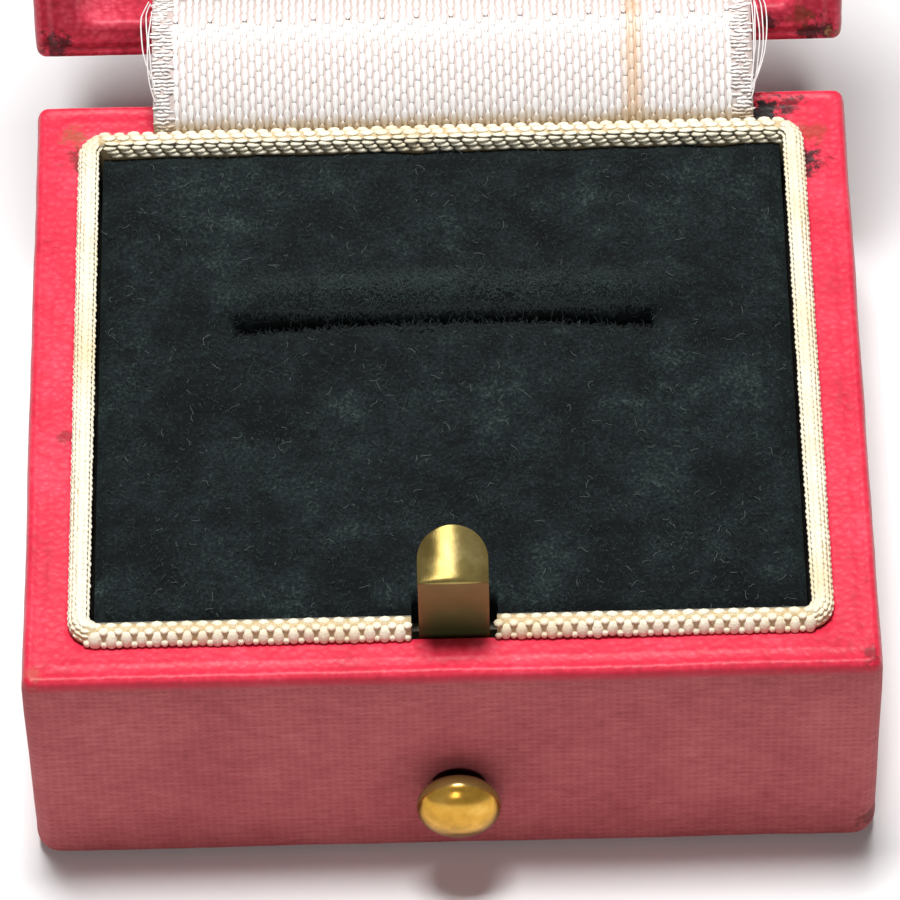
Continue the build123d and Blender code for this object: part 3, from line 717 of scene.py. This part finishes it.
def thread_material(name, code, roughness):
    """Loose cotton fibre, its colour uneven along its length."""
    made, tree, shader, place = finish_material(name)
    uneven = add(tree, "TexNoise", Vector=place, Scale=1 / (2.0 * MM), Detail=2.0)
    share = add(tree, "Math MULTIPLY", uneven, 0.6)
    shade = add(tree, "Mix", share, linear(code), linear("1C2424"), data_type="RGBA")
    plug(tree, shader, BaseColor=shade, Roughness=roughness)
    return made


def on_slit_lips():
    """A random place on either lip of the slit, where the pile stands out over the gap."""
    x = random.uniform(-SLIT_HALF - 0.3 * MM, SLIT_HALF + 0.3 * MM)
    y = slit_line(x) + random.choice((-1, 1)) * random.uniform(0.15, 0.95) * MM
    return Vector((x, y, max(velvet_height(x, y), pad_high.z - 1.6 * MM)))


def behind_slit():
    """A random place on the roll of velvet behind the slit, mostly near its crest."""
    x = random.triangular(-SLIT_HALF, SLIT_HALF, 0) * 1.08
    y = slit_line(x) + random.triangular(0.9, 4.0, 2.0) * MM
    return Vector((x, y, velvet_height(x, y)))


# (piece, thread, count, where, shortest and longest, radius, stray, colour, roughness, seed), in mm
PAD_FIBRES = [
    ("velvet_lint", "pale_lint", 420, on_velvet, (0.08, 0.75), 0.008, 0.35, "8E9896", 0.6, 7),
    ("velvet_lip_pile", "lip_pile", 5200, on_slit_lips, (0.2, 0.55), 0.012, 1.4, "182122", 0.9, 9),
    ("velvet_crest_pile", "crest_pile", 4200, behind_slit, (0.12, 0.4), 0.011, 1.6, "3A4A46", 0.9, 10),
    ("velvet_pile", "pile_tips", 7800, on_velvet, (0.12, 0.36), 0.014, 2.4, "34423F", 0.9, 8),
]
for name, thread_name, count, where, length, radius, stray, code, roughness, seed in PAD_FIBRES:
    thread = thread_material(thread_name, code, roughness)
    length = [size * MM for size in length]
    fibres(name, count, where, length, radius * MM, stray, thread, seed)


# --- Satin hinge ribbon ------------------------------------------------------------------------
# White satin ribbon glued inside the rear wall, carried over both rims and the hinge, and glued in
# the lid. Its warp floats lie as upright beads, staggered row by row, and its edges have frayed.

ribbon_low, ribbon_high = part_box("hinge_ribbon")
ribbon_middle = (ribbon_low.x + ribbon_high.x) / 2
RIBBON_SHY = 0.24 * MM        # how far each edge stays inside the CAD ribbon
ribbon_left = ribbon_low.x + RIBBON_SHY
ribbon_width = ribbon_high.x - ribbon_low.x - 2 * RIBBON_SHY
RIBBON_THICK = 0.12 * MM
BOW_STEPS = 36
STAIN_X = 11.9 * MM
across_rim = Vector((0, -math.cos(open_turn), math.sin(open_turn)))
into_lid = Vector((0, math.sin(open_turn), math.cos(open_turn)))
ribbon_foot = Vector((0, rear_y - BASE_REACH - 0.15 * MM, slip_top - 3.8 * MM))
ribbon_rise = Vector((0, ribbon_foot.y, slip_top - 0.25 * MM))
lid_lip = hinge_point + across_rim * (1.6 * MM + LID_REACH + 0.24 * MM)
ribbon_turn = lid_lip - into_lid * 0.1 * MM
ribbon_end = lid_lip + into_lid * 2.2 * MM


def ribbon_path():
    """The ribbon's line from hem to hem: straight, then one soft bow over the gap, then straight."""
    line = [ribbon_foot.lerp(ribbon_rise, n / 8) for n in range(8)]
    pull_1 = ribbon_rise + Vector((0, 0.15 * MM, 1.5 * MM))
    pull_2 = ribbon_turn - (into_lid * 1.1 * MM - across_rim * 0.35 * MM)
    for n in range(BOW_STEPS):
        t = n / BOW_STEPS
        line.append(
            ribbon_rise * (1 - t) ** 3 + pull_1 * 3 * t * (1 - t) ** 2
            + pull_2 * 3 * t * t * (1 - t) + ribbon_turn * t ** 3
        )
    return line + [ribbon_turn.lerp(ribbon_end, n / 6) for n in range(7)]


def along_path(line, pitch, start=0.0):
    """Evenly spaced (point, normal, lean) along a line of points."""
    found = []
    due = start
    for first, second in zip(line, line[1:]):
        length = (second - first).length
        heading = (second - first).normalized()
        normal = Vector((0, -heading.z, heading.y))
        while due < length:
            found.append((first.lerp(second, due / length), normal, math.atan2(heading.z, heading.y)))
            due += pitch
        due -= length
    return found


path = ribbon_path()
ribbon_length = sum((b - a).length for a, b in zip(path, path[1:]))
RIBBON_COLUMNS = 76
bm = bmesh.new()
row = [
    bm.verts.new((ribbon_left + ribbon_width * n / RIBBON_COLUMNS, path[0].y, path[0].z))
    for n in range(RIBBON_COLUMNS + 1)
]
edges = [bm.edges.new(pair) for pair in zip(row, row[1:])]
for first, second in zip(path, path[1:]):
    made = bmesh.ops.extrude_edge_only(bm, edges=edges)["geom"]
    fresh = [g for g in made if isinstance(g, bmesh.types.BMVert)]
    edges = edges_among(fresh)
    bmesh.ops.translate(bm, vec=second - first, verts=fresh)


def satin_material(name, stained, deep, light):
    """Silk satin: white, glossy along its floats, with an old rust stain, and darker and yellower towards
    its foot.
    """
    made, tree, shader, place = finish_material(name)
    combed = add(tree, "Mapping", Vector=place, Scale=(6, 1, 1))
    fibre = add(tree, "TexNoise", Vector=combed, Scale=1 / (0.5 * MM), Detail=3.0)
    colour = add(tree, "ValToRGB", fibre, stops=[(0.3, deep), (0.7, light)])
    if stained:
        across, _, height = add(tree, "SeparateXYZ", place).outputs
        blotch = add(tree, "TexNoise", Vector=place, Scale=1 / (1.2 * MM), Detail=4.0)
        aside = add(tree, "Math SUBTRACT", across, STAIN_X)
        aside = add(tree, "Math ABSOLUTE", aside)
        inward = add(tree, "Math SUBTRACT", 0.0, aside)
        run = add(tree, "Math MULTIPLY_ADD", blotch, 0.9 * MM, inward)
        rust = add(tree, "MapRange", Value=run, FromMin=-0.35 * MM, FromMax=0.25 * MM, ToMax=0.55)
        colour = add(tree, "Mix", rust, colour, linear("D9A766"), data_type="RGBA")
        level = add(tree, "Math MULTIPLY_ADD", blotch, -0.8 * MM, height)
        foot = add(
            tree, "MapRange", Value=level,
            FromMin=slip_top - 0.35 * MM, FromMax=slip_top + 0.25 * MM, ToMin=0.75, ToMax=0.0,
        )
        colour = add(tree, "Mix", foot, colour, linear("CDB289"), data_type="RGBA")
    bump = add(tree, "Bump", Height=fibre, Distance=0.02 * MM)
    plug(tree, shader, BaseColor=colour, Normal=bump, Roughness=0.38, SheenWeight=0.2)
    return made


white_satin = satin_material("white_satin_floats", True, "EFE8E4", "FFFDFA")
# The ground under the floats is painted darker than the floats: painted shade between them.
ribbon = piece("satin_ribbon", bm, satin_material("white_satin_shaded_ground", True, "C6B4AE", "D8CAC4"))
thicken(ribbon, RIBBON_THICK)
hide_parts("hinge_ribbon")

# Warp floats, staggered so that each column's joints step up by two fifths of a float
FLOAT_PITCH = 0.42 * MM
FLOAT_LENGTH = 0.98 * MM
FLOAT_LAP = 1.36             # a float's length over the distance to the next
FLOAT_WIDTH = 0.38 * MM
FLOAT_RISE = 0.17 * MM
SELVEDGE = 1.25 * MM
random.seed(13)
places = []
columns = int((ribbon_width - 2 * SELVEDGE) / FLOAT_PITCH)
for column in range(columns):
    x = ribbon_left + SELVEDGE + (column + 0.5) * (ribbon_width - 2 * SELVEDGE) / columns
    offset = (column * 0.4 % 1.0) * FLOAT_LENGTH
    for point, normal, lean in along_path(path, FLOAT_LENGTH, offset):
        place = Vector((x + random.uniform(-0.015, 0.015) * MM, point.y, point.z)) + normal * 0.05 * MM
        turn = Euler((lean, 0, 0))
        swell = random.uniform(0.94, 1.05)
        size = (FLOAT_WIDTH * swell, FLOAT_LENGTH * FLOAT_LAP, FLOAT_RISE * swell)
        places.append(bead(place, turn, size))
floats = piece("satin_ribbon_floats", bead_mesh(places), white_satin)

# Frayed selvedges: short weft ends lying across, and a few threads that have pulled away
places = []
for side in (-1, 1):
    for point, normal, lean in along_path(path, 0.23 * MM):
        for _ in range(4):
            x = ribbon_middle + side * (ribbon_width / 2 - random.uniform(0.1, 1.2) * MM)
            place = Vector((x, point.y, point.z)) + normal * random.uniform(0.02, 0.09) * MM
            turn = Euler((lean, random.uniform(-0.15, 0.15), random.uniform(-0.35, 0.35)))
            size = (random.uniform(0.3, 0.8) * MM, random.uniform(0.1, 0.2) * MM, 0.1 * MM)
            places.append(bead(place, turn, size))
selvedge = piece("satin_ribbon_selvedge", bead_mesh(places), white_satin)


def loose_thread(bm, points, radius):
    """A fine thread: a small square of edges drawn along points."""
    root = Matrix.Translation(points[0])
    loop = bmesh.ops.create_circle(bm, segments=4, radius=radius, matrix=root)["verts"]
    edges = edges_among(loop)
    for first, second in zip(points, points[1:]):
        made = bmesh.ops.extrude_edge_only(bm, edges=edges)["geom"]
        fresh = [g for g in made if isinstance(g, bmesh.types.BMVert)]
        edges = edges_among(fresh)
        bmesh.ops.translate(bm, vec=second - first, verts=fresh)


# (side, share along the ribbon where it leaves and rejoins, how far out it bows in mm)
pulled_threads = [
    (-1, 0.42, 0.97, 0.45), (-1, 0.50, 0.99, 0.75), (-1, 0.46, 0.90, 0.25), (1, 0.40, 0.99, 1.05),
    (1, 0.42, 0.98, 0.85), (1, 0.37, 0.95, 0.55), (1, 0.45, 0.99, 0.35), (1, 0.40, 0.92, 0.2),
]
bm = bmesh.new()
dense = along_path(path, ribbon_length / 60)
for side, leaves, joins, bow in pulled_threads:
    stretch = dense[int(leaves * 60):int(joins * 60)]
    points = []
    for number, (point, normal, _) in enumerate(stretch):
        share = number / (len(stretch) - 1)
        sway = noise.noise(Vector((share * 3, bow * 9, side))) * 0.12
        out = math.sin(share ** 0.8 * math.pi * 0.82) * bow + sway
        x = ribbon_middle + side * (ribbon_width / 2 - 0.12 * MM + out * MM)
        lift = 0.1 + 0.25 * math.sin(share * math.pi)
        points.append(Vector((x, point.y, point.z)) + normal * lift * MM)
    loose_thread(bm, points, 0.045 * MM)
pulled = piece("satin_ribbon_pulled_threads", bm, white_satin)

for part_of_ribbon in (ribbon, floats, selvedge, pulled):
    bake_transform(part_of_ribbon)


# --- Catch -------------------------------------------------------------------------------------
# One strip of hard brass, polished, cut to a round tip. The nose is pressed forward and the tip
# leans back above it, with a crown across its width that gathers one bright line of light.

CATCH_THICK = 0.45 * MM
CATCH_CROWN = 0.27 * MM
NOSE_REACH = 0.9 * MM
SLOPE_DEPTH = 2.56 * MM
nose_front = catch_low.y + 0.12 * MM
strip_front = catch_low.y + NOSE_REACH
nose_z = rim_z + 5.2 * MM
tip = Vector((0, strip_front - NOSE_REACH + SLOPE_DEPTH, catch_high.z))
# Front line of the strip from its foot to its tip: (y, z)
catch_line = [
    (strip_front, catch_low.z), (strip_front, rim_z), (strip_front, nose_z - 2.2 * MM),
    (strip_front, nose_z - 0.9 * MM), (strip_front - 0.06 * MM, nose_z - 0.35 * MM),
    (strip_front - 0.3 * MM, nose_z - 0.06 * MM), (nose_front + 0.1 * MM, nose_z + 0.02 * MM),
    (nose_front + 0.02 * MM, nose_z + 0.14 * MM), (nose_front + 0.1 * MM, nose_z + 0.36 * MM),
]
slope_start = Vector((0, *catch_line[-1]))
SLOPE_STEPS = 14
HALF_COLUMNS = 9
for n in range(1, SLOPE_STEPS + 1):
    share = math.sin(n / SLOPE_STEPS * math.pi / 2)
    spot = slope_start.lerp(tip, share)
    catch_line.append((spot.y, spot.z))
catch_half = (catch_high.x - catch_low.x) / 2
bm = bmesh.new()
bmesh.ops.create_grid(bm, x_segments=2 * HALF_COLUMNS, y_segments=len(catch_line) - 1, size=1.0)
for v in bm.verts:
    row_number = round((v.co.y + 1) / 2 * (len(catch_line) - 1))
    y, z = catch_line[row_number]
    from_tip = (Vector((0, y, z)) - tip).length
    narrow = min(from_tip / catch_half, 1.0)
    half = catch_half * max(math.sqrt(1 - (1 - narrow) ** 2), 0.04)
    crown = -CATCH_CROWN * smooth(3, 9, row_number) ** 2 * (v.co.x * half / catch_half) ** 2
    sag = 0.06 * MM * v.co.x ** 2 * (1 - smooth(9, 12, row_number)) * smooth(3, 6, row_number)
    v.co = (catch_x + v.co.x * half, y - crown * 0.71, z + crown * 0.71 + sag)


def brass_material(name, colours, roughness, scratch, shade_film=None):
    """Polished brass, finely scratched. Shade film is painted shade and dark reflection: (axis, where it
    starts and is full, colour).
    """
    made, tree, shader, place = finish_material(name)
    tarnish = add(tree, "TexNoise", Vector=place, Scale=1 / (2.2 * MM), Detail=5.0, Roughness=0.6)
    colour = add(tree, "ValToRGB", tarnish, stops=list(zip((0.35, 0.55, 0.75), colours)))
    metal = 1.0
    if shade_film:
        axis, start, full, code = shade_film
        along = add(tree, "SeparateXYZ", place).outputs[axis]
        share = add(tree, "MapRange", Value=along, FromMin=start, FromMax=full, ToMax=0.8)
        colour = add(tree, "Mix", share, colour, linear(code), data_type="RGBA")
        metal = add(tree, "Math MULTIPLY_ADD", share, -0.75, 1.0)
    dull = add(tree, "Math MULTIPLY_ADD", tarnish, 0.12, roughness)
    drawn = add(tree, "Mapping", Vector=place, Scale=(3, 1, 0.3))
    lines = add(tree, "TexNoise", Vector=drawn, Scale=1 / (0.15 * MM), Detail=2.0)
    bump = add(tree, "Bump", Height=lines, Distance=scratch * MM, Strength=0.6)
    plug(tree, shader, BaseColor=colour, Metallic=metal, Roughness=dull, Normal=bump)
    return made


# Below the nose the catch is painted dull olive: painted shade and a painted dark reflection.
CATCH_SHADE_FILM = (2, nose_z, nose_z - 0.15 * MM, "647648")
# The catch's golds are darker than polished brass: partly tarnish, partly a painted dark reflection of the
# room.
CATCH_GOLDS_WITH_PAINTED_REFLECTION = ("7E6C3C", "988650", "B4A26C")
catch_brass = brass_material("polished_catch_brass", CATCH_GOLDS_WITH_PAINTED_REFLECTION, 0.11, 0.003, CATCH_SHADE_FILM)
catch = piece("brass_catch", bm, catch_brass, "catch")
thicken(catch, CATCH_THICK)
rounding = catch.modifiers.new("rounding", "BEVEL")
rounding.width = 0.09 * MM
rounding.segments = 2
rounding.angle_limit = math.radians(50)
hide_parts("catch_spring")
hidden_brass = brass_material("dull_strip_brass", ("6A5530", "8A7040", "9C8450"), 0.32, 0.01)
dress(hidden_brass, "catch_foot", "keeper_plate", "hinge_leaf_base", "hinge_leaf_lid")


# --- Push-button -------------------------------------------------------------------------------
# A turned brass mushroom with a low domed face, gilt, on a shank through a bush in the front wall.
# Its back is painted dull olive, as painted shade and a painted dark reflection of the wall, and there is
# one small dent in its face.

button_low, button_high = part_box("push_button")
button_z = (button_low.z + button_high.z) / 2
button_x = (button_low.x + button_high.x) / 2
HEAD_MIDDLE = 1.54
HEAD_HALF = 1.44
HEAD_BACK = 0.55
HEAD_STEPS = 22
back_turn = math.acos((HEAD_MIDDLE - HEAD_BACK) / HEAD_HALF)
# (radius, distance in front of the wall) in mm: the shank, then the head from its back to its face
button_profile = [(0.0, -2.95), (1.05, -2.95), (1.1, -2.9), (1.1, HEAD_BACK + 0.01), (1.5, HEAD_BACK)]
for n in range(HEAD_STEPS + 1):
    turn = back_turn + (math.pi - back_turn) * n / HEAD_STEPS
    button_profile.append((2.5 * math.sin(turn), HEAD_MIDDLE - HEAD_HALF * math.cos(turn)))
bm = bmesh.new()
row = [bm.verts.new((r * MM, front_y - forward * MM, 0)) for r, forward in button_profile]
edges = [bm.edges.new(pair) for pair in zip(row, row[1:])]
bmesh.ops.spin(
    bm, geom=row + edges, cent=(0, 0, 0), axis=(0, 1, 0), angle=2 * math.pi, steps=56, use_merge=True,
)
bmesh.ops.remove_doubles(bm, verts=bm.verts, dist=0.002 * MM)
bmesh.ops.translate(bm, vec=(button_x, 0, button_z), verts=bm.verts)
dent = Vector((button_x + 0.05 * MM, front_y - 2.6 * MM, button_z - 1.5 * MM))
for v in bm.verts:
    near = (v.co - dent).length / (0.5 * MM)
    if near < 1:
        v.co.y += 0.05 * MM * (1 - near * near)
# The head's back is painted dull olive: painted shade and a painted dark reflection.
BUTTON_SHADE_FILM = (1, front_y - 1.86 * MM, front_y - 1.7 * MM, "7A6A40")
BUTTON_GOLDS = ("9A742A", "C4943C", "DCB058")
button_brass = brass_material("gilt_button_brass", BUTTON_GOLDS, 0.16, 0.004, BUTTON_SHADE_FILM)
button = piece("brass_push_button", bm, button_brass, "button")
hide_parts("push_button")
# Dark brass, its purple tint painted shade of the gap round the button's neck.
bush_brass_painted_shade = brass_material("dark_bush_brass", ("33202C", "4A3030", "6A4A30"), 0.3, 0.006)
dress(bush_brass_painted_shade, "button_bush", "button_washer")


# --- Tacks, pins and the hinge pin -------------------------------------------------------------
# Drawn steel wire, headed or cut off, gone a little brown in the wood.


def steel_material():
    """Drawn steel wire: grey, fine lines along it, with brown freckles of rust."""
    made, tree, shader, place = finish_material("drawn_steel")
    rust = add(tree, "TexNoise", Vector=place, Scale=1 / (0.6 * MM), Detail=4.0)
    greys = [(0.45, "9A9A98"), (0.62, "86807A"), (0.75, "6A4A38")]
    bump = add(tree, "Bump", Height=rust, Distance=0.01 * MM)
    plug(
        tree, shader,
        BaseColor=add(tree, "ValToRGB", rust, stops=greys), Normal=bump, Metallic=1.0, Roughness=0.35,
    )
    return made


dress(steel_material(), "hinge_pin", "hinge_tacks_base", "hinge_tacks_lid", "catch_tacks", "keeper_pins")


# --- Lid lining --------------------------------------------------------------------------------
# White satin: a band pasted round the walls, and a padded square over card in the roof, its edges
# drawn in so that it puckers a little all round.

plain_satin = satin_material("lining_satin", False, "E9E2DD", "FBF8F4")
dress(plain_satin, "lid_lining")
ROOF_COLUMNS = 110
ROOF_ROWS = 100
lining_inset = LID_REACH + 0.3 * MM
roof_half_x = box_width / 2 - lining_inset
roof_half_y = box_depth / 2 - lining_inset
roof_z = lid_rim_z + 14.5 * MM - 0.6 * MM
ROOF_SWELL = 3.0 * MM
bm = bmesh.new()
bmesh.ops.create_grid(bm, x_segments=ROOF_COLUMNS, y_segments=ROOF_ROWS, size=1.0)
for v in bm.verts:
    x, y = v.co.x * roof_half_x, v.co.y * roof_half_y
    edge = min(roof_half_x - abs(x), roof_half_y - abs(y))
    crown = 1 - (1 - smooth(0, 4.5 * MM, edge + 0.6 * MM)) ** 2.2
    along = x if roof_half_y - abs(y) < roof_half_x - abs(x) else y
    pucker = math.sin(along / (1.5 * MM) + 1.5 * noise.noise(Vector((x, y, 1)) / (5 * MM))) * 0.14
    pucker *= 1 - smooth(0.2 * MM, 5 * MM, edge)
    soft = noise.noise(Vector((x, y, 4)) / (9 * MM)) * 0.15
    middle = 0.25 * (1 - (x / roof_half_x) ** 2) * (1 - (y / roof_half_y) ** 2)
    v.co = (x, y, roof_z - (crown * 0.86 + 0.12 * middle) * ROOF_SWELL - (pucker + soft * crown) * MM)
skirt = [e for e in bm.edges if e.is_boundary]
raised = bmesh.ops.extrude_edge_only(bm, edges=skirt)["geom"]
for v in (g for g in raised if isinstance(g, bmesh.types.BMVert)):
    v.co.z = roof_z
bmesh.ops.holes_fill(bm, edges=[e for e in bm.edges if e.is_boundary])
roof_pad = piece("satin_roof_pad", bm, plain_satin, "lid", OPEN_LID)
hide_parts("lid_satin_pad")


# --- Table, light and camera -------------------------------------------------------------------
# A plain white table, one large soft light overhead and a little behind, a weak front fill, and a
# long lens that looks down on the box as the photograph does.

TABLE_HALF = 1.2
bm = bmesh.new()
bmesh.ops.create_grid(bm, x_segments=2, y_segments=2, size=TABLE_HALF)
bmesh.ops.translate(bm, vec=(0, 0, -0.01 * MM), verts=bm.verts)
table_paint, tree, shader, _ = finish_material("white_table")
plug(tree, shader, BaseColor=linear("FCFCFC"), Roughness=0.9)
table = piece("table", bm, table_paint)


def lamp(name, place, target, width, height, watts):
    """A soft panel of light aimed at a point."""
    light = bpy.data.lights.new(name, "AREA")
    light.shape = "RECTANGLE"
    light.size = width
    light.size_y = height
    light.energy = watts
    made = bpy.data.objects.new(name, light)
    made.location = place
    made.rotation_euler = (Vector(target) - Vector(place)).to_track_quat("-Z", "Y").to_euler()
    bpy.context.scene.collection.objects.link(made)


lamp("overhead_softbox", (-0.02, 0.105, 0.64), (0, 0, 0.01), 0.2, 0.17, 5.5)
lamp("front_strip", (-0.07, -0.52, 0.38), (0, 0, 0.01), 0.13, 0.24, 0.66)

ROOM_LIGHT = 0.03            # how bright the room is to dull surfaces, and how much more to shiny ones
ROOM_GLOSS = 0.45
world = bpy.data.worlds.new("pale_room")
world.use_nodes = True
bpy.context.scene.world = world
sky = world.node_tree.nodes["Background"]
rays = add(world.node_tree, "LightPath").outputs
room = add(world.node_tree, "Math MULTIPLY_ADD", rays["Is Glossy Ray"], ROOM_GLOSS, ROOM_LIGHT)
seen = add(world.node_tree, "Math MAXIMUM", rays["Is Camera Ray"], room)
plug(world.node_tree, sky, Color=linear("FFFFFF"), Strength=seen)

# The camera, fitted to the box's corners in the photograph
LENS_PIXELS = 6697.0
PICTURE = 900.0
elevation = math.radians(51.78)
heading = math.radians(-0.298)
roll = math.radians(-1.576)
look_at = Vector((0.16, -5.43, 17.0)) * MM
distance = 0.397
level = math.cos(elevation)
forward = Vector((math.sin(heading) * level, math.cos(heading) * level, -math.sin(elevation)))
right = Vector((math.cos(heading), -math.sin(heading), 0))
up = right.cross(forward)
right_rolled = right * math.cos(roll) + up * math.sin(roll)
up_rolled = up * math.cos(roll) - right * math.sin(roll)
camera_data = bpy.data.cameras.new("photo_view")
camera_data.sensor_width = 36
camera_data.lens = LENS_PIXELS / PICTURE * 36
camera_data.clip_start = 0.01
camera_data.clip_end = 10
camera = bpy.data.objects.new("photo_view", camera_data)
camera.matrix_world = Matrix.Translation(look_at - forward * distance) @ Matrix(
    (right_rolled, up_rolled, -forward)
).transposed().to_4x4()
bpy.context.scene.collection.objects.link(camera)
bpy.context.scene.camera = camera
bpy.context.scene.view_settings.view_transform = "Standard"
